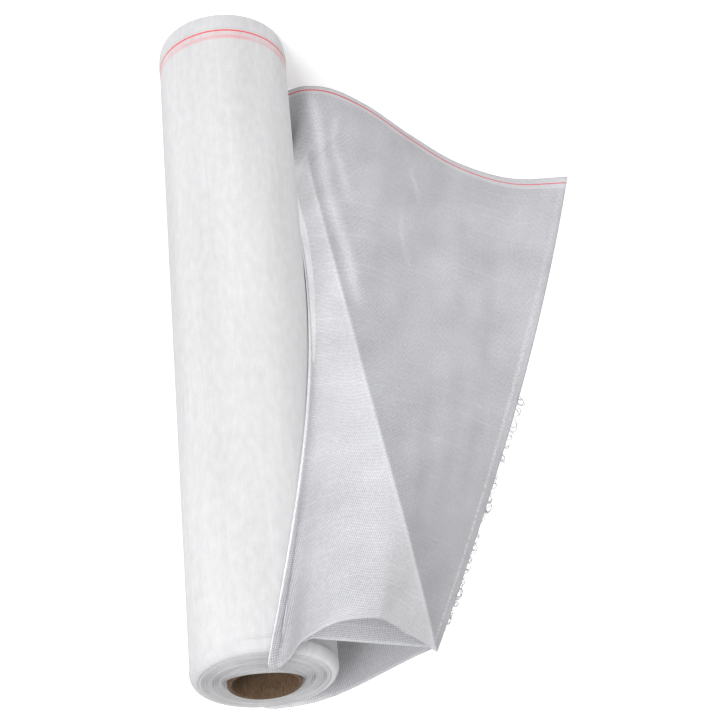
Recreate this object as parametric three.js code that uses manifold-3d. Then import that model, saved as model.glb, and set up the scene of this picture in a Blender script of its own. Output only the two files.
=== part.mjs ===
// A roll of insect screen mesh wound on a cardboard core, standing on end.
// Its loose end stands beside it: a fold lies against the roll near the top,
// and the rest swings out in one slow wave to the cut edge.
// Millimetres, +Z up. The origin is under the middle of the whole outline.

import * as THREE from 'three';
import { mergeVertices } from 'three/addons/utils/BufferGeometryUtils.js';
import Module from 'manifold-3d';

const wasm = await Module();
wasm.setup();

// Roll and core
const webWidth = 610;
const rollRadius = 57;
const coreBoreRadius = 25.4;
const coreWall = 3.1;
const coreInset = 1;
const coreProud = 3.5;
const fitGap = 0.3;

// Turns on the ends of the roll
const turnLand = 2.8;
const turnGroove = 1.4;
const turnGrooveDepth = 1.6;
const shoulderWidth = 5;
const footShoulder = 14;
const headShoulder = 6;

// Loose end: the web's thickness as a solid, and how it hangs off the roll
const sheetThickness = 1.2;
const rollClearance = 1.6;
const creaseRadius = 2.6;
const sheetStartAngle = 62;
const footLift = 12;
const liftFade = 70;

// How far the loose end reaches beside and behind the roll: its wave along the
// floor, and its fold at the top
const waveReach = 276;
const waveDepth = 168;
const foldReach = 78;
const foldBulge = 40;
const cutBow = 11;

// First crease, the outer one: a straight line from its low end to the top
const outerFoot = { out: 3, back: 5 };
const outerHead = { out: foldReach, back: -14 };

// Second crease, which winds round the roll: degrees from the roll's +X side
const innerFootAngle = 122;
const innerHeadAngle = 266;

// Heights at which the fold starts and is whole, as shares of the web's width
const foldStart = 0.08;
const foldWhole = 0.3;

// Drop of the web's upper edge at the outer crease and at the cut, and the
// rise of the inner crease above the roll
const outerDrop = 30;
const innerRise = 14;
const cutDrop = 30;

// Numbers of facets
const rollSegments = 48;
const sheetLevels = 15;
const stretchPoints = { start: 3, back: 3, crease: 5, middle: 4, hug: 5, front: 12 };

const coreRadius = coreBoreRadius + coreWall;
const boreRadius = coreRadius + fitGap;
const degree = Math.PI / 180;

// Places beside the roll: out is beyond its -X side, back is beyond its +Y side
// and front is beyond its -Y side
const behind = ({ out, back }) => new THREE.Vector2(-(rollRadius + out), rollRadius + back);
const before = ({ out, front }) => new THREE.Vector2(-(rollRadius + out), -(rollRadius + front));
const around = (radius, angle) =>
  new THREE.Vector2(radius * Math.cos(angle * degree), radius * Math.sin(angle * degree));

// The wave of the loose end along the floor, from the roll to the cut edge, as
// shares of its reach and depth
const footWave = [
  [0.06, -0.02],
  [0.14, 0.01],
  [0.26, 0.17],
  [0.43, 0.5],
  [0.6, 0.79],
  [0.8, 0.98],
  [1, 1],
].map(([out, back]) => behind({ out: out * waveReach, back: back * waveDepth }));

// The front ply's upper edge, from beside the inner crease to the cut edge, as
// shares of the fold's reach and bulge
const headWave = [
  [-0.73, 0],
  [-0.55, 0.16],
  [-0.33, 0.68],
  [0, 1],
  [0.37, 0.78],
  [0.7, -0.73],
].map(([out, front]) => before({ out: out * foldReach, front: front * foldBulge }));
headWave.push(behind({ out: foldReach, back: outerHead.back - 2 * creaseRadius }));

function smooth(low, high, value) {
  const share = THREE.MathUtils.clamp((value - low) / (high - low), 0, 1);
  return share * share * (3 - 2 * share);
}

function spread(count, place) {
  return Array.from({ length: count }, (_, index) => place(index / (count - 1)));
}

// Points of a spline at even steps of its length
function splinePoints(points, count) {
  const lifted = points.map((point) => new THREE.Vector3(point.x, point.y, 0));
  const curve = new THREE.CatmullRomCurve3(lifted, false, 'centripetal');
  return curve.getSpacedPoints(count - 1).map((point) => new THREE.Vector2(point.x, point.y));
}

function arcPoints(centre, radius, fromAngle, toAngle, count) {
  return spread(count, (share) =>
    around(radius, THREE.MathUtils.lerp(fromAngle, toAngle, share)).add(centre));
}

const bearing = (point) => (Math.atan2(point.y, point.x) / degree + 360) % 360;

// The wave at one level, with the cut edge bowed outwards half-way up
function wave(level) {
  const bow = cutBow * 4 * level * (1 - level);
  return footWave.map((foot, index) => {
    const place = foot.clone().lerp(headWave[index], level);
    place.x -= (bow * index) / (footWave.length - 1);
    return place;
  });
}

// One level of the folded web, from the roll to the cut edge
function foldedSection(level) {
  const outer = behind(outerFoot).lerp(behind(outerHead), level);
  const outerReach = outer.length();
  const leaveAngle = bearing(outer) - Math.acos(rollRadius / outerReach) / degree;
  const hugRadius = rollRadius + rollClearance + sheetThickness / 2;
  const innerAngle = THREE.MathUtils.lerp(innerFootAngle, innerHeadAngle, level);
  const meetAngle = bearing(outer) + Math.acos(hugRadius / outerReach) / degree;
  const hugAngle = Math.min(meetAngle, innerAngle - 4);

  const leave = around(rollRadius, leaveAngle);
  const meet = around(hugRadius, hugAngle);
  const start = arcPoints(new THREE.Vector2(), rollRadius, sheetStartAngle, leaveAngle,
    stretchPoints.start);

  // The outer crease turns from the back ply's direction to the middle ply's
  const heading = bearing(outer.clone().sub(leave));
  const returning = bearing(meet.clone().sub(outer));
  const outward = new THREE.Vector2(Math.cos(heading * degree), Math.sin(heading * degree));
  const hingeCentre = outer.clone().addScaledVector(outward, -creaseRadius);
  const outerCrease = arcPoints(hingeCentre, creaseRadius, heading - 90, returning - 90,
    stretchPoints.crease);
  const back = spread(stretchPoints.back, (share) =>
    leave.clone().lerp(outerCrease[0], share)).slice(1, -1);
  const middle = spread(stretchPoints.middle + 2, (share) =>
    outerCrease.at(-1).clone().lerp(meet, share)).slice(1, -1);
  const hug = arcPoints(new THREE.Vector2(), hugRadius, hugAngle, innerAngle,
    stretchPoints.hug);

  // The inner crease turns away from the roll and lies back over itself
  const pivot = around(hugRadius + creaseRadius, innerAngle);
  const innerCrease = arcPoints(pivot, creaseRadius, innerAngle + 180, innerAngle + 360,
    stretchPoints.crease).slice(1);
  const lying = around(hugRadius + 2 * creaseRadius + 1, innerAngle - 8);
  const front = splinePoints([innerCrease.at(-1), lying, ...wave(level).slice(2)],
    stretchPoints.front + 1).slice(1);
  return [...start, ...back, ...outerCrease, ...middle, ...hug, ...innerCrease, ...front];
}

// One level of the web where it isn't folded, with as many points
function plainSection(level, count) {
  const outer = behind({ out: 0, back: 0 });
  const leave = around(rollRadius, 90);
  const start = arcPoints(new THREE.Vector2(), rollRadius, sheetStartAngle, 90,
    stretchPoints.start).slice(0, -1);
  const free = splinePoints([leave, outer, ...wave(level)], count - start.length);
  return [...start, ...free];
}

// The centre line of the web at one level, in three dimensions
function sectionPoints(level) {
  const folded = foldedSection(level);
  const plain = plainSection(level, folded.length);
  const share = smooth(foldStart, foldWhole, level);
  const flat = plain.map((point, index) => point.clone().lerp(folded[index], share));
  const outerIndex = stretchPoints.start + stretchPoints.back + 1;
  const innerIndex = folded.length - stretchPoints.front - 3;
  return flat.map((point, index) => {
    const reach = Math.max(0, -point.x);
    const lift = footLift * (1 - smooth(0, liftFade, reach)) * (1 - level);
    const drop = edgeDrop(index, outerIndex, innerIndex, folded.length - 1);
    return new THREE.Vector3(point.x, point.y, level * (webWidth - drop) + lift);
  });
}

// How far the web's upper edge lies below the roll's, at a point of a section
function edgeDrop(index, outerIndex, innerIndex, lastIndex) {
  if (index <= outerIndex) {
    return outerDrop * smooth(0, outerIndex, index);
  }
  if (index <= innerIndex) {
    return THREE.MathUtils.mapLinear(index, outerIndex, innerIndex, outerDrop, -innerRise);
  }
  return THREE.MathUtils.mapLinear(index, innerIndex, lastIndex, -innerRise, cutDrop);
}

// A closed solid of even thickness about the web's surface
function looseEndGeometry() {
  const rows = spread(sheetLevels, sectionPoints);
  const count = rows[0].length;
  const positions = [];
  const indices = [];
  rows.forEach((row) => {
    row.forEach((point, index) => {
      const along = row[Math.min(index + 1, count - 1)].clone().sub(row[Math.max(index - 1, 0)]);
      const normal = new THREE.Vector3(along.y, -along.x, 0).normalize();
      [-0.5, 0.5].forEach((side) => {
        const place = point.clone().addScaledVector(normal, side * sheetThickness);
        positions.push(place.x, place.y, place.z);
      });
    });
  });
  const at = (row, index, side) => 2 * (row * count + index) + side;
  const quad = (a, b, c, d) => indices.push(a, b, c, a, c, d);
  for (let row = 0; row < sheetLevels - 1; row += 1) {
    for (let index = 0; index < count - 1; index += 1) {
      quad(at(row, index, 0), at(row + 1, index, 0), at(row + 1, index + 1, 0), at(row, index + 1, 0));
      quad(at(row, index, 1), at(row, index + 1, 1), at(row + 1, index + 1, 1), at(row + 1, index, 1));
    }
  }
  const top = sheetLevels - 1;
  for (let index = 0; index < count - 1; index += 1) {
    quad(at(0, index, 0), at(0, index + 1, 0), at(0, index + 1, 1), at(0, index, 1));
    quad(at(top, index, 0), at(top, index, 1), at(top, index + 1, 1), at(top, index + 1, 0));
  }
  const last = count - 1;
  for (let row = 0; row < top; row += 1) {
    quad(at(row, 0, 0), at(row, 0, 1), at(row + 1, 0, 1), at(row + 1, 0, 0));
    quad(at(row, last, 0), at(row + 1, last, 0), at(row + 1, last, 1), at(row, last, 1));
  }
  const geometry = new THREE.BufferGeometry();
  geometry.setAttribute('position', new THREE.Float32BufferAttribute(positions, 3));
  geometry.setIndex(indices);
  return geometry;
}

// Radii where the grooves between the turns start on an end of the roll
function grooveStarts() {
  const pitch = turnLand + turnGroove;
  const flat = rollRadius - shoulderWidth - boreRadius - turnLand;
  const grooves = Math.floor(flat / pitch);
  return Array.from({ length: grooves }, (_, index) => boreRadius + turnLand + index * pitch);
}

// An end of the roll from its bore outwards: lands and grooves, then the outer
// turns, which stand back one after another
function endProfile(face, inward, shoulderDrop) {
  const points = [new THREE.Vector2(boreRadius, face)];
  grooveStarts().forEach((radius) => {
    const floor = face + inward * turnGrooveDepth;
    points.push(new THREE.Vector2(radius, face));
    points.push(new THREE.Vector2(radius + turnGroove / 2, floor));
    points.push(new THREE.Vector2(radius + turnGroove, face));
  });
  const steps = 3;
  const shoulder = rollRadius - shoulderWidth;
  for (let step = 0; step < steps; step += 1) {
    const radius = shoulder + (shoulderWidth * (step + 1)) / (steps + 0.5);
    const before = face + inward * shoulderDrop * (step / steps) ** 1.5;
    const after = face + inward * shoulderDrop * ((step + 1) / steps) ** 1.5;
    points.push(new THREE.Vector2(radius, before));
    points.push(new THREE.Vector2(radius, after));
  }
  points.push(new THREE.Vector2(rollRadius, face + inward * shoulderDrop));
  return points;
}

function woundRollGeometry() {
  const foot = endProfile(0, 1, footShoulder);
  const head = endProfile(webWidth, -1, headShoulder).reverse();
  const profile = [...foot, ...head, foot[0].clone()];
  return new THREE.LatheGeometry(profile, rollSegments).rotateX(Math.PI / 2);
}

function coreGeometry() {
  const foot = coreInset;
  const head = webWidth + coreProud;
  const profile = [
    new THREE.Vector2(coreBoreRadius, foot),
    new THREE.Vector2(coreRadius, foot),
    new THREE.Vector2(coreRadius, head),
    new THREE.Vector2(coreBoreRadius, head),
    new THREE.Vector2(coreBoreRadius, foot),
  ];
  return new THREE.LatheGeometry(profile, rollSegments).rotateX(Math.PI / 2);
}

// Conversion to and from the solids that can be joined
function solidFrom(geometry) {
  const bare = geometry.clone();
  bare.deleteAttribute('normal');
  bare.deleteAttribute('uv');
  const merged = mergeVertices(bare, 1e-4);
  return new wasm.Manifold(new wasm.Mesh({
    numProp: 3,
    vertProperties: new Float32Array(merged.attributes.position.array),
    triVerts: new Uint32Array(merged.index.array),
  }));
}

function geometryFrom(solid) {
  const mesh = solid.getMesh();
  const geometry = new THREE.BufferGeometry();
  geometry.setAttribute('position', new THREE.Float32BufferAttribute(mesh.vertProperties, 3));
  geometry.setIndex(Array.from(mesh.triVerts));
  return geometry;
}

const meshMaterial = new THREE.MeshStandardMaterial({
  color: 0xdfe1e2,
  roughness: 0.55,
  metalness: 0,
});
const cardboardMaterial = new THREE.MeshStandardMaterial({
  color: 0x8a7460,
  roughness: 0.95,
  metalness: 0,
});

function screenMesh() {
  const roll = solidFrom(woundRollGeometry());
  const looseEnd = solidFrom(looseEndGeometry());
  const mesh = new THREE.Mesh(geometryFrom(roll.add(looseEnd)), meshMaterial);
  mesh.name = 'screen_mesh';
  return mesh;
}

function coreTube() {
  const mesh = new THREE.Mesh(coreGeometry(), cardboardMaterial);
  mesh.name = 'core_tube';
  return mesh;
}

const roll = new THREE.Group();
roll.add(screenMesh(), coreTube());

const outline = new THREE.Box3().setFromObject(roll);
const middle = outline.getCenter(new THREE.Vector3());
roll.position.set(-middle.x, -middle.y, -outline.min.z);

export default roll;
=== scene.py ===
"""A roll of insect screen mesh standing on end, with its loose end beside it.

Metres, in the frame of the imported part. The web's surface is worked out level by
level from the same driving dimensions as the part's solids.
"""

import math
import random

import bpy
import numpy as np
from mathutils import Matrix, Vector

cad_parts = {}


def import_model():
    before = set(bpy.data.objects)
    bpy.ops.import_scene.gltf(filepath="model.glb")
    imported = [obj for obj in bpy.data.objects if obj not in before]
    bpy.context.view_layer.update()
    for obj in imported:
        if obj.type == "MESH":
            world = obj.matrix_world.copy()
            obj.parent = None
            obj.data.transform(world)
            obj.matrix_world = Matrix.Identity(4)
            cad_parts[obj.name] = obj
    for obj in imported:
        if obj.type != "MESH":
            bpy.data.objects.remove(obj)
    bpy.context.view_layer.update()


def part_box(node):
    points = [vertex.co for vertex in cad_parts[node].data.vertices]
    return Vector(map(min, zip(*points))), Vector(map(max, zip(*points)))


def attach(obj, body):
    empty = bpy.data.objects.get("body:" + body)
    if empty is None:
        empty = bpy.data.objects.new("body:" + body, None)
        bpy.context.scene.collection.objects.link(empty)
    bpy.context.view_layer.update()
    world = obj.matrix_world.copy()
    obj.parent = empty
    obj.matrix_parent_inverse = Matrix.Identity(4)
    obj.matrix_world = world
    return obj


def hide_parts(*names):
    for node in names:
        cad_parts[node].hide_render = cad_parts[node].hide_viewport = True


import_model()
core_low, core_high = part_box("core_tube")

# The roll
AXIS = np.array([(core_low[0] + core_high[0]) / 2, (core_low[1] + core_high[1]) / 2])
WEB_WIDTH = 0.61
ROLL_RADIUS = 0.057
CORE_BORE = 0.0254
CORE_RADIUS = 0.0285
BORE_RADIUS = 0.0288
INNER_STAND = 0.0068
INNER_TURNS = 0.007
WEB_THICKNESS = 0.0003

# The loose end, as in the part's source. Angles are in degrees
WAVE_REACH = 0.276
WAVE_DEPTH = 0.168
FOLD_REACH = 0.078
FOLD_BULGE = 0.04
CUT_BOW = 0.011
OUTER_FOOT = (0.003, 0.005)
OUTER_HEAD = (FOLD_REACH, -0.014)
INNER_FOOT_ANGLE = 122
INNER_HEAD_ANGLE = 266
FOLD_START = 0.06
FOLD_WHOLE = 0.22
OUTER_DROP = 0.04
INNER_RISE = 0.014
CUT_DROP = 0.03
CREASE_RADIUS = 0.0009
HUG_CLEARANCE = 0.0004
INNER_LAP = 0.001
LEAST_HUG = 4
LAP_ANGLE = 8
HUG_POINTS = 24
SHOULDER_DROP = 0.011
DROP_POINTS = 9
FRONT_DROP_POWER = 1.35
TIP_LEAN = 0.95
TIP_FROM = 0.0008
TIP_POINTS = (26, 8, 40)
START_ANGLE = 62
FOOT_LIFT = 0.012
LIFT_FADE = 0.07
EASING_ROUNDS = 70
EASING_SHARE = 0.8
EASED_FROM = 0.05
EASED_PAST_FOLD = 0.12

# Small waves of the loose end: height and length
GATHERS = (0.0009, 0.021)
BROAD_WAVES = (0.0016, 0.13)
FINE_WAVES = (0.0003, 0.034)
GATHERS_REACH = 0.06
GATHERS_FADE = 0.05

# The wound web's ends: how far each edge is rounded in and up, and its turns
FOOT_ROUND = (0.0035, 0.016)
HEAD_ROUND = (0.006, 0.0095)
ROUND_POINTS = 15
TURN_EDGES = 30
FOOT_GROOVE = 0.0004
HEAD_GROOVE = 0.0006
BORE_SET_BACK = 0.001
WEB_SEGMENTS = 192
SIDE_ROWS = 110
SIDE_FOOT = 0.02
SIDE_BELOW_HEAD = 0.004
SIDE_SET_BACK = 0.0004
HEAD_WANDER = 0.00035
HEAD_SINK = 0.0003
FOOT_WANDER = 0.0001
UNEVEN_SIDE = (0.00016, 0.0001, 0.00005)

# Kinds of place on the wound web: its side, a turn's edge, a groove, the two rounds, the bore
SIDE, EDGE, GROOVE, LOWER_ROUND, UPPER_ROUND, BORE = range(6)

# The core's rims and its wound strip's seam
RIM_ROUND = 0.0006
RIM_DIP = 0.0002
CORE_SEGMENTS = 160
CORE_ROWS = 60
SEAM_PITCH = 0.11
SEAM_HALF_WIDTH = (0.02, 0.004)

# Loose weft along the cut edge
FRAYED = 90
FRAYED_RADIUS = 0.0003
FRAYED_FROM = 0.5
FRAYED_SPAN = 0.47
FRAYED_SET_IN = 0.001
FRAYED_SIZES = (0.0016, 0.0052)
FRAYED_INWARD_POINTS = 8
CURL_OFF_PLANE = 0.0006
HAIR_OFF_PLANE = 0.001
TUBE_GUIDE = np.array([0.31, 0.2, 0.93])

# Weave: 18 threads to the inch along the web, 16 across it
WARP_PITCH = 0.0254 / 16
WEFT_PITCH = 0.0254 / 18
THREAD_SHARE = 0.2
BUMP_DEPTH = 0.0002
MARKER_FROM_EDGE = 0.0055
MARKER_AT_CUT = 0.01
MARKER_NEAR_CUT = 0.3
OUTER_MARKER = 0.02
LOWER_MARKER = 0.0268
MARKER_HALF_WIDTH = (0.0011, 0.0005)
BAND_END = (1.85, 1.7)
BAND_LINE = 1.72
BAND_LINE_HALF_WIDTH = (0.16, 0.04)
HEAD_BAND = (0.004, 0.001)
BLURRED_HALF_WIDTH = (0.0034, 0.0004)
VEIL_EDGES = (0.0015, 0.002)
PULLED_AT_FOOT = 0.005
PULLED_LEAN = 0.016
PULLED_HALF_WIDTH = (0.0032, 0.001)

# Tones as shares of the light that comes back
SIDE_TONE = 0.545
# The middle ply's tone is set far above the thread's own, painting light over the shade inside the fold
MIDDLE_PLY = 0.84
LOOSE_BLUE = 0.024

# Tones at the fold's foot and at its head
THREE_PLIES = (0.61, 0.55)
ONE_PLY = (0.475, 0.465)

# Tones beside the roll and away from it, and on the ends round the core and at the rim
BACK_PLY = (0.42, 0.46)
END_TONE = (0.42, 0.535)
END_PALE_FROM_RIM = 0.004

# Painted light and shade where plies lie over each other or turn: light painted low on the three plies,
# light and shade painted across the fold's bulge, painted shade where the front ply turns away, painted
# highlights on the crease's rim and past the inner crease, light painted on the back ply beside the
# roll; and how clear the gaps between threads are
PAINTED_LIGHT_LOW = 0.07
PAINTED_SHADING_ACROSS = 0.2
TURNED_AWAY_SHADE = 0.1
RIM_LIGHT = 0.06
CREASE_LIGHT = 0.09
BY_ROLL_LIGHT = 1.1
HOLE_CLEAR = 0.32

# How far those changes reach. The crease looks higher by a share of its depth
SEEN_RISE = 0.616
PLY_EDGE = 0.0012
RIM_WIDTH = 0.0016
ACROSS_FROM = 0.03
TURNED_FADE = 0.032
BEHIND_ROLL = (0.02, 0.062)
CREASE_LIGHT_POINTS = (3, 2.4)

# Colours
RED_THREAD = (0.72, 0.02, 0.035, 1)
RED_BELOW = (0.74, 0.12, 0.15, 1)
SELVEDGE = (0.74, 0.74, 0.76, 1)
PULLED_WEFT = (0.8, 0.8, 0.82, 1)
LOOSE_THREAD = (0.3, 0.3, 0.32, 1)
BOARD_DARK = (0.085, 0.052, 0.03, 1)
BOARD_PALE = (0.15, 0.098, 0.062, 1)
BOARD_CLOUD = (0.08, 0.048, 0.03, 1)
BOARD_SEAM = (0.06, 0.04, 0.03, 1)
WHITE = (1, 1, 1, 1)

# Clouds, grain and thread lines: noise cycles a metre along and up the web, and strength
WOUND_MOTTLING = (((26, 3), 0.34), ((190, 90), 0.22), ((420, 9), 0.045))
LOOSE_MOTTLING = (((24, 18), 0.42), ((420, 300), 0.42), ((6, 420), 0.085))

# Camera and stage. The camera stands above the roll and is turned over
CAMERA_FROM_AXIS = (-0.0157, -1.5156, 1.2593)
CAMERA_RIGHT = (-0.99625, 0.0, 0.08653)
CAMERA_UP = (-0.07376, -0.52281, -0.84925)
LENS = 107.9
CLIP_END = 50
FLOOR_HALF = 8
FLOOR_TONE = 0.95
FLOOR_GLOW = 0.25
SKY = 0.66
AIM = (0, 0, 0.3)
LAMPS = (
    ("key", (1.2, -2.3, 2.2), 1.2, 62),
    ("fill", (-1.2, -2.2, 2.2), 1.8, 8),
    ("back", (-1.2, 2.4, 2.0), 1.8, 26),
)

# Streaks of painted highlight, and of painted shade where the strength is below nought, in the loose
# end: half width, strength, then height and distance from the cut edge
PAINTED_STREAKS = (
    (0.0055, 0.34, ((0.013, 0.315), (0.055, 0.2945), (0.087, 0.2775), (0.126, 0.2624),
                   (0.158, 0.249), (0.203, 0.2287), (0.28, 0.2))),
    (0.0045, 0.2, ((0.039, 0.282), (0.061, 0.276), (0.09, 0.26), (0.15, 0.235))),
    (0.009, -0.1, ((0.0, 0.33), (0.042, 0.316), (0.094, 0.296), (0.13, 0.278))),
    (0.003, 0.2, ((0.06, 0.178), (0.075, 0.168), (0.11, 0.155))),
    (0.004, 0.12, ((0.13, 0.18), (0.152, 0.176), (0.178, 0.166), (0.21, 0.15))),
)

# Fineness of the loose end: points of each stretch, after the part's own count
LEVELS = 190
CREASE_POINTS = 12
STRETCHES = (
    ("back", 1, 8),
    ("outer crease", 5, CREASE_POINTS),
    ("middle", 4, 22),
    ("hug", 5, 20),
    ("inner crease", 4, CREASE_POINTS),
    ("lap", 3, 30),
    ("front", 9, 100),
)
START_POINTS = 6

random.seed(18)


def smooth(low, high, value):
    """Nought up to low, one from high, and a soft slope between."""
    share = np.clip((value - low) / (high - low), 0, 1)
    return share * share * (3 - 2 * share)


def around(radius, degrees):
    """Places at these angles on a circle about the roll's axis."""
    angle = np.radians(degrees)
    return np.stack([radius * np.cos(angle), radius * np.sin(angle)], axis=-1)


def bearing(point):
    return math.degrees(math.atan2(point[1], point[0])) % 360


def behind(out, back):
    """A place this far beyond the roll's side and beyond its back."""
    return np.array([-(ROLL_RADIUS + out), ROLL_RADIUS + back])


def before(out, front):
    """A place this far beyond the roll's side and beyond its front."""
    return np.array([-(ROLL_RADIUS + out), -(ROLL_RADIUS + front)])


def unit(vectors):
    return vectors / np.maximum(np.linalg.norm(vectors, axis=-1, keepdims=True), 1e-9)


def along(line, shares):
    """Points at these shares of a polyline's length."""
    steps = np.linalg.norm(np.diff(line, axis=0), axis=1)
    reached = np.concatenate([[0], np.cumsum(steps)])
    places = np.asarray(shares) * reached[-1]
    return np.stack([np.interp(places, reached, line[:, k]) for k in range(line.shape[1])], 1)


def spline(points, steps=90):
    """A centripetal Catmull-Rom curve through the points."""
    knots = [np.asarray(p, float) for p in points]
    knots = [2 * knots[0] - knots[1], *knots, 2 * knots[-1] - knots[-2]]
    out = []
    for i in range(1, len(knots) - 2):
        p = knots[i - 1 : i + 3]
        t = np.cumsum([0, *(max(np.linalg.norm(b - a), 1e-6) ** 0.5 for a, b in zip(p, p[1:]))])
        x = np.linspace(t[1], t[2], steps, endpoint=False)[:, None]
        low = [((t[k + 1] - x) * p[k] + (x - t[k]) * p[k + 1]) / (t[k + 1] - t[k]) for k in range(3)]
        mid = [((t[k + 2] - x) * low[k] + (x - t[k]) * low[k + 1]) / (t[k + 2] - t[k]) for k in range(2)]
        out.append(((t[2] - x) * mid[0] + (x - t[1]) * mid[1]) / (t[2] - t[1]))
    return np.concatenate([*out, knots[-2][None]])


FOOT_WAVE = [
    behind(out * WAVE_REACH, back * WAVE_DEPTH)
    for out, back in (
        (0.06, -0.02), (0.14, 0.01), (0.26, 0.17), (0.43, 0.5), (0.6, 0.79), (0.8, 0.98), (1, 1),
    )
]
HEAD_WAVE = [
    before(out * FOLD_REACH, front * FOLD_BULGE)
    for out, front in (
        (-0.73, 0), (-0.55, 0.16), (-0.33, 0.68), (0, 1), (0.37, 0.78), (0.7, -0.73),
    )
] + [behind(FOLD_REACH, OUTER_HEAD[1] - 2 * CREASE_RADIUS)]


def wave(level):
    """The free web's places at one level, between the wave at the foot and the fold at the head."""
    bow = CUT_BOW * 4 * level * (1 - level)
    last = len(FOOT_WAVE) - 1
    places = []
    for index, (foot, head) in enumerate(zip(FOOT_WAVE, HEAD_WAVE)):
        place = foot * (1 - level) + head * level
        place[0] -= bow * index / last
        places.append(place)
    return places


def folded_section(level):
    """The folded web at one level, from where it leaves the roll to the cut edge."""
    outer = behind(*OUTER_FOOT) * (1 - level) + behind(*OUTER_HEAD) * level
    reach = float(np.linalg.norm(outer))
    leave_angle = bearing(outer) - math.degrees(math.acos(ROLL_RADIUS / reach))
    hug_radius = ROLL_RADIUS + HUG_CLEARANCE
    inner_angle = INNER_FOOT_ANGLE + (INNER_HEAD_ANGLE - INNER_FOOT_ANGLE) * level
    meet_angle = bearing(outer) + math.degrees(math.acos(hug_radius / reach))
    hug_angle = min(meet_angle, inner_angle - LEAST_HUG)
    leave = around(ROLL_RADIUS, leave_angle)
    meet = around(hug_radius, hug_angle)

    heading = bearing(outer - leave)
    returning = bearing(meet - outer)
    hinge = outer - CREASE_RADIUS * around(1, heading)
    turn = np.linspace(heading - 90, returning - 90, CREASE_POINTS)
    outer_crease = hinge + around(CREASE_RADIUS, turn)
    pivot = around(hug_radius + CREASE_RADIUS, inner_angle)
    turn = np.linspace(inner_angle + 180, inner_angle + 360, CREASE_POINTS)
    inner_crease = pivot + around(CREASE_RADIUS, turn)
    lying = around(hug_radius + 2 * CREASE_RADIUS + INNER_LAP, inner_angle - LAP_ANGLE)

    free = spline([inner_crease[-1], lying, *wave(level)[2:]])
    first = points_up_to(free, wave(level)[2])
    lines = {
        "back": np.array([leave, outer_crease[0]]),
        "outer crease": outer_crease,
        "middle": np.array([outer_crease[-1], meet]),
        "hug": around(hug_radius, np.linspace(hug_angle, inner_angle, HUG_POINTS)),
        "inner crease": inner_crease,
        "lap": free[:first],
        "front": free[first - 1 :],
    }
    stretches = [along(lines[name], (np.arange(fine) + 1) / fine) for name, _, fine in STRETCHES]
    start = around(ROLL_RADIUS, np.linspace(START_ANGLE, leave_angle, START_POINTS))
    return np.concatenate([start, *stretches])


def points_up_to(line, place):
    """The number of the line's points up to this place."""
    return int(np.argmin(np.linalg.norm(line - place, axis=1))) + 1


def near_shares():
    """Where the points up to the lap's end lie on the unfolded curve's near part."""
    near = STRETCHES[:-1]
    coarse = sum(count for _, count, _ in near)
    shares = []
    done = 0
    for _, count, fine in near:
        shares.extend((done + count * (np.arange(fine) + 1) / fine) / coarse)
        done += count
    return np.array(shares)


def plain_section(level):
    """The unfolded web at one level, with as many points as the folded one."""
    knots = [around(ROLL_RADIUS, 90), behind(0, 0), *wave(level)]
    free = spline(knots)
    first = points_up_to(free, wave(level)[2])
    start = around(ROLL_RADIUS, np.linspace(START_ANGLE, 90, START_POINTS))
    far = (np.arange(STRETCHES[-1][2]) + 1) / STRETCHES[-1][2]
    return np.concatenate([start, along(free[:first], near_shares()), along(free[first - 1 :], far)])


def stretch_end(name):
    """Index of the last point of a stretch."""
    index = START_POINTS - 1
    for stretch, _, fine in STRETCHES:
        index += fine
        if stretch == name:
            return index
    raise ValueError(name)


OUTER_INDEX = stretch_end("outer crease") - CREASE_POINTS // 2
INNER_INDEX = stretch_end("inner crease") - CREASE_POINTS // 2
POINTS = stretch_end("front") + 1


def edge_drop():
    """How far the web's upper edge lies below the roll's end, point by point."""
    index = np.arange(POINTS)
    shoulder = SHOULDER_DROP * (1 - smooth(0, START_POINTS - 1, index))
    back = shoulder + OUTER_DROP * smooth(START_POINTS, START_POINTS + DROP_POINTS, index)
    middle = np.interp(index, [OUTER_INDEX, INNER_INDEX], [OUTER_DROP, -INNER_RISE])
    share = np.clip((index - INNER_INDEX) / (POINTS - 1 - INNER_INDEX), 0, 1)
    front = -INNER_RISE + (CUT_DROP + INNER_RISE) * share**FRONT_DROP_POWER
    return np.where(index <= OUTER_INDEX, back, np.where(index <= INNER_INDEX, middle, front))


def loose_surface():
    """Grid of points of the loose end, levels by points, about the roll's axis."""
    drop = edge_drop()
    rows = []
    for level in np.linspace(0, 1, LEVELS):
        share = smooth(FOLD_START, FOLD_WHOLE, level)
        flat = plain_section(level) * (1 - share) + folded_section(level) * share
        reach = np.maximum(0, -flat[:, 0])
        lift = FOOT_LIFT * (1 - smooth(0, LIFT_FADE, reach)) * (1 - level)
        rows.append(np.column_stack([flat, level * (WEB_WIDTH - drop) + lift]))
    return leaning(eased(np.array(rows)))


def spread(factor):
    """A factor for x and y that leaves z as it is."""
    return np.concatenate([factor, factor, np.ones_like(factor)], 2)


def leaning(grid):
    """The crease's tip leans in over the roll's end, towards the core."""
    index = np.arange(POINTS)[None, :, None]
    before_crease, whole, after_crease = TIP_POINTS
    rising = smooth(INNER_INDEX - before_crease, INNER_INDEX - whole, index)
    falling = 1 - smooth(INNER_INDEX + whole, INNER_INDEX + after_crease, index)
    near = rising * falling
    above = np.maximum(grid[..., 2:] - WEB_WIDTH - TIP_FROM, 0)
    radius = np.linalg.norm(grid[..., :2], axis=2, keepdims=True)
    return grid * spread(1 - TIP_LEAN * above * near / radius)


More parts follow.
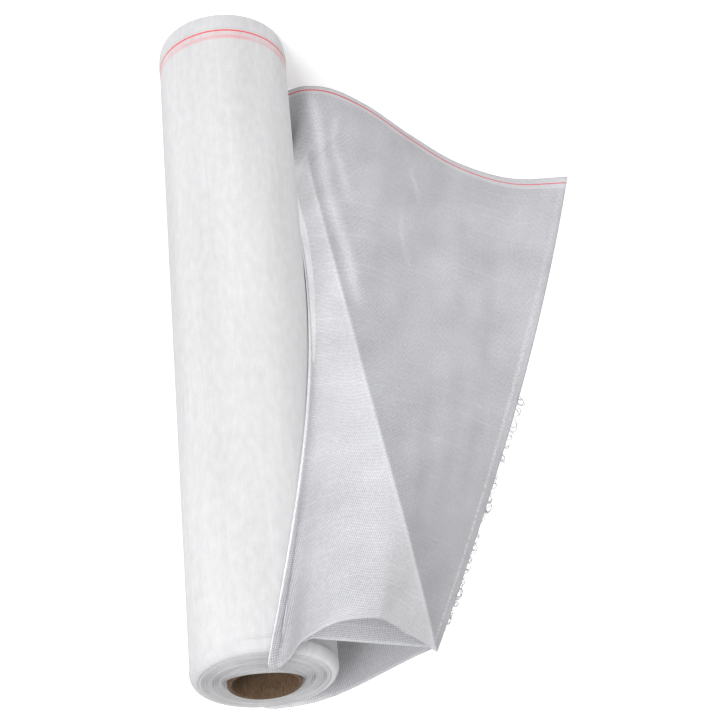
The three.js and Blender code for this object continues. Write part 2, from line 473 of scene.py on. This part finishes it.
def eased(grid):
    """The surface with its sharp turns eased where the fold begins, clear of the roll."""
    level = np.linspace(0, 1, LEVELS)[:, None, None]
    index = np.arange(POINTS)[None, :, None]
    weight = smooth(0.0, EASED_FROM, level)
    weight = weight * (1 - smooth(FOLD_WHOLE, FOLD_WHOLE + EASED_PAST_FOLD, level))
    weight = weight * smooth(START_POINTS, START_POINTS + 6, index)
    weight = weight * (1 - smooth(POINTS - 30, POINTS - 6, index))
    for _ in range(EASING_ROUNDS):
        mean = grid.copy()
        mean[1:-1, 1:-1] = (grid[:-2, 1:-1] + grid[2:, 1:-1] + grid[1:-1, :-2] + grid[1:-1, 2:]) / 4
        grid = grid + EASING_SHARE * weight * (mean - grid)
        radius = np.linalg.norm(grid[..., :2], axis=2, keepdims=True)
        push = np.maximum((ROLL_RADIUS + HUG_CLEARANCE / 2) / radius, 1)
        grid = grid * spread(np.where(index > START_POINTS + 2, push, 1))
    return grid


def grid_faces(rows, columns, closed=False):
    """Quads of a grid whose points run along its columns."""
    across = columns if closed else columns - 1
    r, c = np.meshgrid(np.arange(rows - 1), np.arange(across), indexing="ij")
    r, c = r.ravel(), c.ravel()
    here = r * columns
    above = (r + 1) * columns
    after = (c + 1) % columns
    return np.stack([here + c, here + after, above + after, above + c], 1).tolist()


def make_mesh(name, points, faces, attributes=None):
    mesh = bpy.data.meshes.new(name)
    mesh.from_pydata([tuple(p) for p in points], [], faces)
    for key, values in (attributes or {}).items():
        layer = mesh.attributes.new(key, "FLOAT_VECTOR", "POINT")
        layer.data.foreach_set("vector", np.asarray(values, np.float32).ravel())
    mesh.shade_smooth()
    mesh.update()
    piece = bpy.data.objects.new(name, mesh)
    bpy.context.scene.collection.objects.link(piece)
    return piece


def revolved(name, radius, height, theta, attributes):
    """A closed ring of a half section, from radii and heights by row and angle."""
    rows, columns = radius.shape
    points = np.stack([radius * np.cos(theta), radius * np.sin(theta), height], 2)
    column = np.arange(columns)
    after = (column + 1) % columns
    last = (rows - 1) * columns
    closing = np.stack([last + column, last + after, after, column], 1).tolist()
    faces = grid_faces(rows, columns, closed=True) + closing
    flat = {key: values.reshape(-1, 3) for key, values in attributes.items()}
    return make_mesh(name, placed(points.reshape(-1, 3)), faces, flat)


def around_the_axis(profile, count):
    """Radius, height and angle of a half section's points, by row and angle."""
    theta = np.ones((len(profile), 1)) * np.linspace(0, 2 * math.pi, count, endpoint=False)[None, :]
    radius = profile[:, 0][:, None] * np.ones((1, count))
    height = profile[:, 1][:, None] * np.ones((1, count))
    return radius, height, theta


def placed(points):
    """Points about the roll's axis, moved to the part's frame."""
    return points + np.array([AXIS[0], AXIS[1], 0])


def grid_normals(grid):
    return unit(np.cross(np.gradient(grid, axis=1), np.gradient(grid, axis=0)))


def ripples(length_along, from_cut):
    """Small waves that cloth of this kind shows, along its normal."""
    height = np.linspace(0, 1, LEVELS)[:, None]
    size, pitch = GATHERS
    near_roll = np.exp(-np.maximum(length_along - GATHERS_REACH, 0) / GATHERS_FADE)
    gathers = size * np.sin(2 * math.pi * length_along / pitch + 2.5 * height)
    gathers = gathers * near_roll * smooth(0.02, 0.12, height) * (1 - smooth(0.2, 0.42, height))
    size, pitch = BROAD_WAVES
    broad = size * np.sin(2 * math.pi * from_cut / pitch + 3 * height)
    broad = broad * smooth(0.01, 0.07, from_cut) * smooth(0.02, 0.2, height)
    size, pitch = FINE_WAVES
    fine = size * np.sin(2 * math.pi * from_cut / pitch + 9 * height + 1.2)
    fine = fine * smooth(0.03, 0.2, height)
    free = smooth(START_POINTS + 6, START_POINTS + 12, np.arange(POINTS))[None, :]
    folded = (np.arange(POINTS) > INNER_INDEX + 10)[None, :]
    return free * (gathers * (1 - folded * 0.5) + (broad + fine) * folded)


def loose_web():
    """The loose end as a closed sheet, and the grid of points that it was made from."""
    grid = loose_surface()
    steps = np.linalg.norm(np.diff(grid, axis=1), axis=2)
    length = np.concatenate([np.zeros((LEVELS, 1)), np.cumsum(steps, axis=1)], axis=1)
    whole = length[:, -1:]
    from_cut = whole - length
    grid = grid + grid_normals(grid) * ripples(length, from_cut)[..., None]

    # The thread coordinates run evenly from the roll to the cut edge
    mean = float(whole.mean())
    height = np.linspace(0, WEB_WIDTH, LEVELS)[:, None] * np.ones((1, POINTS))
    web = np.stack([length / whole * mean, height, np.zeros_like(height)], axis=2)
    ply_and_light = ply_and_light_tone(grid, height / WEB_WIDTH)
    tone = np.stack([ply_and_light, from_cut, streak_shading(height, from_cut)], axis=2)

    piece = make_mesh("loose_web", placed(grid.reshape(-1, 3)), grid_faces(LEVELS, POINTS), {
        "web": web.reshape(-1, 3), "tone": tone.reshape(-1, 3),
    })
    thicken(piece, WEB_THICKNESS)
    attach(piece, "root")
    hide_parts("screen_mesh")
    return piece, grid


def ply_and_light_tone(grid, level):
    """How light each place looks: one ply, three plies, or the inside of an open fold, with painted
    light, painted shade and painted highlights laid over these tones.
    """
    x, y = grid[..., 0], grid[..., 1]
    index = np.arange(POINTS)[None, :]
    foot, head = behind(*OUTER_FOOT), behind(*OUTER_HEAD)
    outer = (1 - level)[..., None] * foot + level[..., None] * head

    # The outer crease lies behind the front ply, and the camera sees it a little higher
    slope = (OUTER_HEAD[0] - OUTER_FOOT[0]) / WEB_WIDTH
    edge_x = outer[..., 0] + slope * SEEN_RISE * np.clip(outer[..., 1] - y, 0, 0.2)
    over = smooth(-PLY_EDGE, PLY_EDGE, x - edge_x) * smooth(0.11, 0.17, level)

    one = ONE_PLY[0] + (ONE_PLY[1] - ONE_PLY[0]) * smooth(0.3, 1, level)
    three = THREE_PLIES[0] + (THREE_PLIES[1] - THREE_PLIES[0]) * smooth(0.4, 0.95, level)
    # Light painted low on the three plies, where the surface turns from the lamp and would render dim
    three = three + PAINTED_LIGHT_LOW * (1 - smooth(0.3, 0.45, level))
    # Light and shade painted across the fold's bulge: lighter towards one flank, darker towards the
    # other
    across = np.clip((x + ACROSS_FROM) / (edge_x + ACROSS_FROM), 0, 1)
    three = three + PAINTED_SHADING_ACROSS * (across - 0.6) * smooth(0.5, 0.8, level)
    # Painted shade on the one ply beside the crease, where the front ply turns away
    away = np.maximum(edge_x - x, 0)
    turned = TURNED_AWAY_SHADE * np.exp(-away / TURNED_FADE) * smooth(0.15, 0.45, level) * (1 - over)
    front = one - turned + (three - one) * over
    # Painted highlight along the rim of the three plies
    rim_highlight = np.exp(-(((x - edge_x - PLY_EDGE) / RIM_WIDTH) ** 2)) * smooth(0.1, 0.2, level)
    front = front + RIM_LIGHT * rim_highlight * over
    # Painted highlight on the front ply just past the inner crease
    past, width = CREASE_LIGHT_POINTS
    crease = np.exp(-(((index - INNER_INDEX - past) / width) ** 2)) * smooth(0.15, 0.3, level)
    front = front + CREASE_LIGHT * crease

    fold = smooth(0.1, 0.25, level)
    # The middle ply, seen inside the fold, is painted lighter to lift the shade that falls there
    middle = one + (MIDDLE_PLY - one) * fold
    back = one + (BACK_PLY[0] - one) * fold
    out = smooth(-ROLL_RADIUS, -ROLL_RADIUS - FOLD_REACH, x)
    back = back + (BACK_PLY[1] - BACK_PLY[0]) * out * fold
    # The back ply takes the roll's side tone, painted a tenth lighter to lift the shade where the web
    # leaves the roll
    by_roll = SIDE_TONE * BY_ROLL_LIGHT
    back = by_roll + (back - by_roll) * smooth(*BEHIND_ROLL, -x)
    return np.where(index > INNER_INDEX, front, np.where(index > OUTER_INDEX, middle, back))


def streak_shading(height, from_cut):
    """Painted highlights and painted shade in streaks where the cloth is gathered or turns away."""
    total = np.zeros_like(height)
    front = np.arange(POINTS)[None, :] > START_POINTS
    for width, strength, course in PAINTED_STREAKS:
        rises, places = np.array(course).T
        middle = np.interp(height, rises, places)
        ends = smooth(rises[0] - 0.02, rises[0] + 0.01, height)
        ends = ends * (1 - smooth(rises[-1] - 0.04, rises[-1], height))
        total += strength * ends * front * np.exp(-(((from_cut - middle) / width) ** 2))
    return total


def thicken(piece, thickness):
    solid = piece.modifiers.new("thickness", "SOLIDIFY")
    solid.thickness = thickness
    solid.offset = 0
    apply_modifiers(piece)


def apply_modifiers(piece):
    graph = bpy.context.evaluated_depsgraph_get()
    mesh = bpy.data.meshes.new_from_object(piece.evaluated_get(graph))
    piece.modifiers.clear()
    piece.data = mesh


def rounded(reach, rise, low, high):
    """Radii of the roll's rounded edge and how far each lies in from the end, by angle."""
    angles = [math.radians(angle) for angle in np.linspace(low, high, ROUND_POINTS)]
    return [
        (ROLL_RADIUS - reach + reach * math.sin(angle), rise * (1 - math.cos(angle))) for angle in angles
    ]


def roll_profile():
    """Radius, height and kind along the wound web's half section, from bore to bore."""
    points = []
    flat = ROLL_RADIUS - FOOT_ROUND[0] - BORE_RADIUS
    pitch = flat / TURN_EDGES
    for index in range(TURN_EDGES):
        radius = BORE_RADIUS + flat * index / TURN_EDGES
        points.append((radius, FOOT_GROOVE, EDGE))
        points.append((radius + 0.3 * pitch, 0, EDGE))
        points.append((radius + 0.75 * pitch, FOOT_GROOVE, GROOVE))
    for radius, inset in rounded(*FOOT_ROUND, 0, 90):
        points.append((radius, inset, LOWER_ROUND))

    side_head = WEB_WIDTH - HEAD_ROUND[0] - SIDE_BELOW_HEAD
    for height in np.linspace(SIDE_FOOT, side_head, SIDE_ROWS):
        points.append((ROLL_RADIUS, height, SIDE))

    for radius, inset in rounded(*HEAD_ROUND, 90, 0):
        points.append((radius, WEB_WIDTH - inset, UPPER_ROUND))
    flat = ROLL_RADIUS - HEAD_ROUND[0] - BORE_RADIUS
    pitch = flat / TURN_EDGES
    groove = WEB_WIDTH - HEAD_GROOVE
    for index in range(TURN_EDGES):
        radius = ROLL_RADIUS - HEAD_ROUND[0] - flat * (index + 0.25) / TURN_EDGES
        points.append((radius, groove, GROOVE))
        points.append((radius - 0.3 * pitch, WEB_WIDTH, EDGE))
        points.append((radius - 0.7 * pitch, groove, EDGE))
    points.append((BORE_RADIUS, WEB_WIDTH - BORE_SET_BACK, BORE))
    points.append((BORE_RADIUS, BORE_SET_BACK, BORE))
    return np.array(points)


def wound_web():
    """The roll: its side, and the edges of its turns on both ends."""
    profile = roll_profile()
    kinds = profile[:, 2][:, None]
    radius, height, theta = around_the_axis(profile, WEB_SEGMENTS)
    ends = np.isin(kinds, (EDGE, GROOVE))
    at_head = height > WEB_WIDTH / 2

    # The turns' edges wander a little, more at the head
    row = np.arange(len(profile))[:, None]
    wander = np.sin(theta + row * 0.9)
    wander = wander + 0.6 * np.sin(2 * theta + row * 2.3)
    wander = wander + 0.4 * np.sin(3 * theta - row * 1.7)
    head_wander = HEAD_WANDER * wander - HEAD_SINK
    height = height + ends * np.where(at_head, head_wander, FOOT_WANDER * (wander + 2))

    # The inner turns stand proud of the core on the camera's side
    inner = np.exp(-np.clip(radius - BORE_RADIUS, 0, None) / INNER_TURNS)
    toward = np.clip(-np.sin(theta + 0.1), 0, 1)
    raised = ends | (kinds == BORE) & at_head
    height = height + np.where(at_head, INNER_STAND * inner * toward, 0) * raised

    # The side is a little uneven
    level = height / WEB_WIDTH
    broad, fine, finest = UNEVEN_SIDE
    soft = broad * np.sin(3 * theta + 4 * level) + fine * np.sin(7 * theta - 3 * level)
    soft = soft + finest * np.sin(19 * theta + 2) * np.sin(9 * height + 1)
    radius = radius + (kinds == SIDE) * (soft - SIDE_SET_BACK)

    piece = revolved("wound_web", radius, np.clip(height, 0, None), theta, {
        "web": np.stack([ROLL_RADIUS * theta, height, np.zeros_like(height)], 2),
        "tone": np.stack([np.ones_like(height), radius, kinds * np.ones_like(height)], 2),
    })
    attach(piece, "root")
    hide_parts("screen_mesh")
    return piece


def core_board():
    """The cardboard tube, with soft rims."""
    foot, head = core_low[2], core_high[2]
    middle = (CORE_BORE + CORE_RADIUS) / 2
    quarter = (CORE_RADIUS - CORE_BORE) / 4
    profile = [(CORE_BORE, z) for z in np.linspace(foot + RIM_ROUND, head - RIM_ROUND, CORE_ROWS)]
    profile += [
        (CORE_BORE + RIM_ROUND, head),
        (middle - quarter, head - RIM_DIP),
        (middle, head),
        (middle + quarter, head - RIM_DIP),
        (CORE_RADIUS - RIM_ROUND, head),
        (CORE_RADIUS, head - RIM_ROUND),
        (CORE_RADIUS, foot + RIM_ROUND),
        (CORE_RADIUS - RIM_ROUND, foot),
        (CORE_BORE + RIM_ROUND, foot),
    ]
    radius, height, theta = around_the_axis(np.array(profile), CORE_SEGMENTS)
    piece = revolved("core_board", radius, height, theta, {
        "web": np.stack([theta * CORE_BORE, height, radius], 2),
    })
    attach(piece, "root")
    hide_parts("core_tube")
    return piece


def thread_tubes(name, lines, radius, sides=5):
    """One mesh of thin tubes along these lines of points."""
    points = []
    faces = []
    offset = 0
    angle = np.linspace(0, 2 * math.pi, sides, endpoint=False)
    out, up = np.cos(angle)[None, :, None], np.sin(angle)[None, :, None]
    for line in lines:
        tangent = unit(np.gradient(line, axis=0))
        side = unit(np.cross(tangent, TUBE_GUIDE))
        other = np.cross(tangent, side)
        ring = line[:, None, :] + radius * (out * side[:, None, :] + up * other[:, None, :])
        points.append(ring.reshape(-1, 3))
        last = (len(line) - 1) * sides
        tube = grid_faces(len(line), sides, closed=True)
        tube += [list(range(sides))[::-1], list(range(last, last + sides))]
        faces += [[offset + corner for corner in face] for face in tube]
        offset += len(line) * sides
    piece = make_mesh(name, np.concatenate(points), faces)
    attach(piece, "root")
    return piece


def frayed_threads(grid):
    """Curls and hairs of loose weft along the upper part of the cut edge."""
    edge = grid[:, -1, :]
    outward = -unit(grid[:, -FRAYED_INWARD_POINTS, :] - edge)
    upward = unit(np.gradient(edge, axis=0))
    lines = []
    for _ in range(FRAYED):
        level = FRAYED_FROM + FRAYED_SPAN * random.random()
        at = int(level * (LEVELS - 1))
        base = edge[at] - outward[at] * FRAYED_SET_IN
        size = random.uniform(*FRAYED_SIZES)
        lean = random.uniform(-0.6, 0.9)
        if random.random() < 0.5:
            path = curl(size, lean, random.uniform(3.2, 5.6))
        else:
            path = hair(size, lean)
        axes = np.array([outward[at], upward[at], np.cross(outward[at], upward[at])])
        lines.append(placed(base + np.array(path) @ axes))
    return thread_tubes("frayed_threads", lines, FRAYED_RADIUS)


def curl(size, lean, turned):
    """A loop of thread, as places out from the cut edge, up along it and off its plane."""
    off = CURL_OFF_PLANE
    return [
        (size * (1 - math.cos(t)), size * (math.sin(t) + lean * 0.4 * t), off * math.sin(1.3 * t))
        for t in np.linspace(-0.4, turned, 16)
    ]


def hair(size, lean):
    """A thread's free end, as places out from the cut edge, up along it and off its plane."""
    return [
        (size * 1.7 * t, size * 2.2 * lean * t * t, HAIR_OFF_PLANE * math.sin(3 * t))
        for t in np.linspace(0, 1, 9)
    ]


class Nodes:
    """A short way to write a material's nodes."""

    def __init__(self, name):
        self.material = bpy.data.materials.new(name)
        self.material.use_nodes = True
        self.tree = self.material.node_tree
        self.tree.nodes.clear()

    def add(self, kind, inputs=None, **settings):
        node = self.tree.nodes.new(kind)
        for key, value in settings.items():
            setattr(node, key, value)
        for key, value in (inputs or {}).items():
            self.plug(node.inputs[key], value)
        return node

    def plug(self, socket, value):
        if isinstance(value, bpy.types.NodeSocket):
            self.tree.links.new(value, socket)
        else:
            socket.default_value = value

    def math(self, operation, a, b=0.0, c=0.0):
        node = self.tree.nodes.new("ShaderNodeMath")
        node.operation = operation
        for socket, value in zip(node.inputs, (a, b, c)):
            self.plug(socket, value)
        return node.outputs[0]

    def ramp(self, value, low, high, to_low=0.0, to_high=1.0):
        node = self.add("ShaderNodeMapRange", interpolation_type="SMOOTHSTEP")
        for key, item in (("Value", value), ("From Min", low), ("From Max", high),
                          ("To Min", to_low), ("To Max", to_high)):
            self.plug(node.inputs[key], item)
        return node.outputs["Result"]

    def mix(self, share, a, b):
        node = self.add("ShaderNodeMix", data_type="RGBA")
        self.plug(node.inputs[0], share)
        self.plug(node.inputs[6], a)
        self.plug(node.inputs[7], b)
        return node.outputs[2]

    def split(self, name):
        """A mesh attribute as a vector, and its three parts."""
        vector = self.add("ShaderNodeAttribute", attribute_name=name).outputs["Vector"]
        parts = self.add("ShaderNodeSeparateXYZ", {0: vector})
        return vector, tuple(parts.outputs)

    def apart(self, a, b):
        """How far two values are from each other."""
        return self.math("ABSOLUTE", self.math("SUBTRACT", a, b))

    def noise(self, vector, stretch, detail, scale=1.0):
        """Noise over a vector that is first stretched by three factors."""
        node = self.add("ShaderNodeVectorMath", operation="MULTIPLY")
        self.plug(node.inputs[0], vector)
        node.inputs[1].default_value = stretch
        inputs = {"Vector": node.outputs[0], "Scale": scale, "Detail": detail}
        return self.add("ShaderNodeTexNoise", inputs).outputs["Fac"]

    def shader(self, colour, roughness, specular=None, height=None, strength=0.0):
        """A principled shader, with its bump where a height is given."""
        inputs = {"Base Color": colour, "Roughness": roughness}
        if specular is not None:
            inputs["Specular IOR Level"] = specular
        if height is not None:
            bump = {"Height": height, "Strength": strength, "Distance": BUMP_DEPTH}
            inputs["Normal"] = self.add("ShaderNodeBump", bump).outputs[0]
        return self.add("ShaderNodeBsdfPrincipled", inputs)

    def finish(self, surface):
        out = self.add("ShaderNodeOutputMaterial")
        self.tree.links.new(surface, out.inputs["Surface"])
        return self.material


def thread_mask(nodes, value, pitch):
    """One on a thread's middle, nought between threads."""
    place = nodes.math("FRACT", nodes.math("DIVIDE", value, pitch))
    return nodes.ramp(nodes.apart(place, 0.5), THREAD_SHARE, THREAD_SHARE * 0.35)


def web_material(name, wound=False):
    """The weave: pale threads both ways, with what lies behind the gaps as their ground."""
    nodes = Nodes(name)
    web, (run, rise, _) = nodes.split("web")
    tones = nodes.split("tone")[1]
    weft = thread_mask(nodes, run, WEFT_PITCH)
    warp = thread_mask(nodes, rise, WARP_PITCH)
    cover = nodes.math("MAXIMUM", weft, warp)
    if wound:
        colour = wound_colour(nodes, web, rise, tones, cover)
    else:
        colour = loose_colour(nodes, web, rise, tones, cover)

    over = nodes.math("SINE", nodes.math("MULTIPLY", run, math.pi / WEFT_PITCH))
    under = nodes.math("SINE", nodes.math("MULTIPLY", rise, math.pi / WARP_PITCH))
    crown = nodes.math("MULTIPLY", nodes.math("MULTIPLY", over, under), 0.25)
    height = nodes.math("ADD", cover, crown)
    shader = nodes.shader(colour, 0.6, 0.3, height, 0.35)
    if wound:
        return nodes.finish(shader.outputs[0])
    clear = nodes.add("ShaderNodeBsdfTransparent")
    solid = nodes.ramp(cover, 0.0, 1.0, 1 - HOLE_CLEAR, 1.0)
    woven = nodes.add("ShaderNodeMixShader", {0: solid, 1: clear.outputs[0], 2: shader.outputs[0]})
    return nodes.finish(woven.outputs[0])


def wound_colour(nodes, web, rise, tones, cover):
    """The roll's colour, from each place's radius and kind."""
    _, radius, kind = tones
    colour = wound_tone(nodes, radius, kind)
    colour = lit(nodes, colour, mottling(nodes, web, WOUND_MOTTLING), cover)
    return wound_marks(nodes, web, rise, colour)


def loose_colour(nodes, web, rise, tones, cover):
    """The loose end's colour, from its tone with its painted light and shade, its distance from the cut
    edge and its painted highlight and shade streaks.
    """
    # The tone's third part, gathers, holds the painted highlight and shade streaks
    ply_and_light, from_cut, gathers = tones
    blue = nodes.math("ADD", ply_and_light, LOOSE_BLUE)
    colour = nodes.add("ShaderNodeCombineXYZ", {0: ply_and_light, 1: ply_and_light, 2: blue}).outputs[0]
    sparkle = nodes.ramp(nodes.noise(web, (1000, 560, 1), 2.0), 0.35, 0.65, 0.5, 1.5)
    # Painted highlight and shade streaks, broken up by fine grain
    painted_streak = nodes.math("MULTIPLY", gathers, sparkle)
    bright = nodes.math("ADD", mottling(nodes, web, LOOSE_MOTTLING), painted_streak)
    colour = lit(nodes, colour, bright, cover)
    return selvedge_marks(nodes, web, rise, from_cut, colour)


def mottling(nodes, web, layers):
    """Brightness round one: soft clouds, finer grain, and lines along the threads."""
    clouds, grain, lines = layers
    parts = []
    for stretch, strength in (clouds, grain):
        field = nodes.noise(web, (*stretch, 1), 3.0)
        parts.append(nodes.math("MULTIPLY", nodes.math("SUBTRACT", field, 0.5), strength))
    stretch, strength = lines
    threads = nodes.ramp(nodes.noise(web, (*stretch, 1), 2.0), 0.58, 0.68, 0.0, strength)
    return nodes.math("ADD", nodes.math("ADD", nodes.math("ADD", *parts), threads), 1.0)


def lit(nodes, colour, bright, cover):
    """The colour at this brightness, with the threads a little over the gaps."""
    bright = nodes.math("MULTIPLY", bright, nodes.ramp(cover, 0.0, 1.0, 0.96, 1.09))
    scaled = nodes.add("ShaderNodeVectorMath", operation="SCALE")
    nodes.plug(scaled.inputs[0], colour)
    nodes.plug(scaled.inputs["Scale"], bright)
    return scaled.outputs[0]


def grey(value, blue=0.01):
    return (value, value, value + blue, 1)


def marker_at(nodes, rise, place):
    """How much of the red marker thread shows, by its place up the web."""
    return nodes.ramp(nodes.apart(rise, place), *MARKER_HALF_WIDTH, 0.0, 0.85)


def selvedge_marks(nodes, web, rise, from_cut, colour):
    """The red marker, the denser band beside it and the pulled weft by the cut edge."""
    marker_rise = nodes.ramp(from_cut, MARKER_NEAR_CUT, 0.0, MARKER_FROM_EDGE, MARKER_AT_CUT)
    past = nodes.math("DIVIDE", rise, marker_rise)
    band = nodes.ramp(past, *BAND_END, 0.0, 0.4)
    line = nodes.ramp(nodes.apart(past, BAND_LINE), *BAND_LINE_HALF_WIDTH, 0.0, 0.3)
    head = nodes.ramp(nodes.math("SUBTRACT", WEB_WIDTH, rise), *HEAD_BAND, 0.0, 0.16)
    band = nodes.math("MAXIMUM", nodes.math("MAXIMUM", band, line), head)
    colour = nodes.mix(band, colour, SELVEDGE)

    course = nodes.math("ADD", PULLED_AT_FOOT, nodes.math("MULTIPLY", rise, PULLED_LEAN))
    pulled = nodes.ramp(nodes.apart(from_cut, course), *PULLED_HALF_WIDTH, 0.0, 0.65)
    speck = nodes.ramp(nodes.noise(web, (300, 620, 1), 2.0), 0.42, 0.62)
    pulled = nodes.math("MULTIPLY", pulled, speck)
    pulled = nodes.math("MULTIPLY", pulled, nodes.ramp(rise, 0.1, 0.35, 0.35, 1.0))
    colour = nodes.mix(pulled, colour, PULLED_WEFT)
    return nodes.mix(marker_at(nodes, rise, marker_rise), colour, RED_THREAD)


def wound_tone(nodes, radius, kind):
    """The turns' edges on the ends are darker than the side, most of all round the core, with painted
    shade in the grooves between them.
    """
    inner, outer = END_TONE
    outward = nodes.ramp(radius, BORE_RADIUS, ROLL_RADIUS - END_PALE_FROM_RIM)
    edges = nodes.mix(outward, grey(inner), grey(outer))
    # Painted shade in the grooves between the turns' edges
    groove = nodes.ramp(nodes.apart(kind, float(GROOVE)), 0.5, 0.0, 0.0, 0.22)
    edges = nodes.mix(groove, edges, grey(inner * 0.5))
    return nodes.mix(nodes.ramp(kind, 0.0, 1.0), grey(SIDE_TONE, 0.008), edges)


def wound_marks(nodes, web, rise, colour):
    """The marker thread of the outer turn, and those of the turns below showing through."""
    below = nodes.ramp(nodes.apart(rise, LOWER_MARKER), *BLURRED_HALF_WIDTH, 0.0, 0.42)
    wobble = nodes.ramp(nodes.noise(web, (14, 1, 1), 1.0), 0.35, 0.65, 0.45, 1.15)
    blurred = nodes.math("MULTIPLY", below, wobble)
    low, high = VEIL_EDGES
    veil_low = nodes.ramp(rise, OUTER_MARKER, OUTER_MARKER + low, 0.0, 0.2)
    veil_high = nodes.ramp(rise, LOWER_MARKER + high, LOWER_MARKER)
    veil = nodes.math("MULTIPLY", veil_low, veil_high)
    hatch = nodes.ramp(nodes.noise(web, (420, 30, 1), 1.0), 0.4, 0.6, 0.3, 1.0)
    veil = nodes.math("MULTIPLY", veil, hatch)
    colour = nodes.mix(nodes.math("MAXIMUM", blurred, veil), colour, RED_BELOW)
    return nodes.mix(marker_at(nodes, rise, OUTER_MARKER), colour, RED_THREAD)


def cardboard_material():
    """Brown board with its fibres, and the seam of the strip that the tube is wound from."""
    nodes = Nodes("spiral_board")
    _, (run, rise, _) = nodes.split("web")
    place = nodes.add("ShaderNodeNewGeometry").outputs["Position"]
    fibre = nodes.noise(place, (1, 1, 0.35), 4.0, scale=900.0)
    cloud = nodes.noise(place, (1, 1, 1), 3.0, scale=45.0)
    turned = nodes.math("DIVIDE", run, 2 * math.pi * CORE_BORE)
    climbed = nodes.math("DIVIDE", rise, SEAM_PITCH)
    seam_place = nodes.math("FRACT", nodes.math("ADD", turned, climbed))
    seam = nodes.ramp(nodes.apart(seam_place, 0.5), *SEAM_HALF_WIDTH)
    colour = nodes.mix(nodes.ramp(fibre, 0.3, 0.7), BOARD_DARK, BOARD_PALE)
    colour = nodes.mix(nodes.ramp(cloud, 0.3, 0.8, 0.0, 0.5), colour, BOARD_CLOUD)
    colour = nodes.mix(nodes.math("MULTIPLY", seam, 0.6), colour, BOARD_SEAM)
    height = nodes.math("SUBTRACT", fibre, nodes.math("MULTIPLY", seam, 2.0))
    return nodes.finish(nodes.shader(colour, 0.9, 0.2, height, 0.4).outputs[0])


def loose_thread_material():
    nodes = Nodes("loose_thread")
    return nodes.finish(nodes.shader(LOOSE_THREAD, 0.5).outputs[0])


def camera():
    x, y, z = CAMERA_FROM_AXIS
    place = Vector((x + AXIS[0], y + AXIS[1], z))
    right = Vector(CAMERA_RIGHT)
    up = Vector(CAMERA_UP)
    turned = Matrix((right, up, right.cross(up))).transposed().to_4x4()
    eye = bpy.data.objects.new("camera", bpy.data.cameras.new("camera"))
    eye.matrix_world = Matrix.Translation(place) @ turned
    eye.data.lens = LENS
    eye.data.clip_end = CLIP_END
    bpy.context.scene.collection.objects.link(eye)
    bpy.context.scene.camera = eye


def pale_floor():
    """A floor that glows slightly, so that it comes out as white as the photo's ground."""
    half = FLOOR_HALF
    corners = [(-half, -half, 0), (half, -half, 0), (half, half, 0), (-half, half, 0)]
    floor = make_mesh("floor", corners, [[0, 1, 2, 3]])
    nodes = Nodes("pale_floor")
    shader = nodes.shader((FLOOR_TONE, FLOOR_TONE, FLOOR_TONE, 1), 0.9)
    shader.inputs["Emission Color"].default_value = WHITE
    shader.inputs["Emission Strength"].default_value = FLOOR_GLOW
    floor.data.materials.append(nodes.finish(shader.outputs[0]))


def studio():
    scene = bpy.context.scene
    scene.view_settings.view_transform = "Standard"
    scene.world = bpy.data.worlds.new("studio")
    scene.world.use_nodes = True
    sky = scene.world.node_tree.nodes["Background"]
    sky.inputs[0].default_value = WHITE
    sky.inputs[1].default_value = SKY
    for name, place, size, power in LAMPS:
        light = bpy.data.lights.new(name, "AREA")
        light.size = size
        light.energy = power
        lamp = bpy.data.objects.new(name, light)
        lamp.location = place
        aim = Vector(AIM) - Vector(place)
        lamp.rotation_euler = aim.to_track_quat("-Z", "Y").to_euler()
        scene.collection.objects.link(lamp)


camera()
pale_floor()
studio()
wound = wound_web()
loose, surface = loose_web()
core = core_board()
frayed = frayed_threads(surface)
wound.data.materials.append(web_material("wound_weave", wound=True))
loose.data.materials.append(web_material("loose_weave"))
core.data.materials.append(cardboard_material())
frayed.data.materials.append(loose_thread_material())
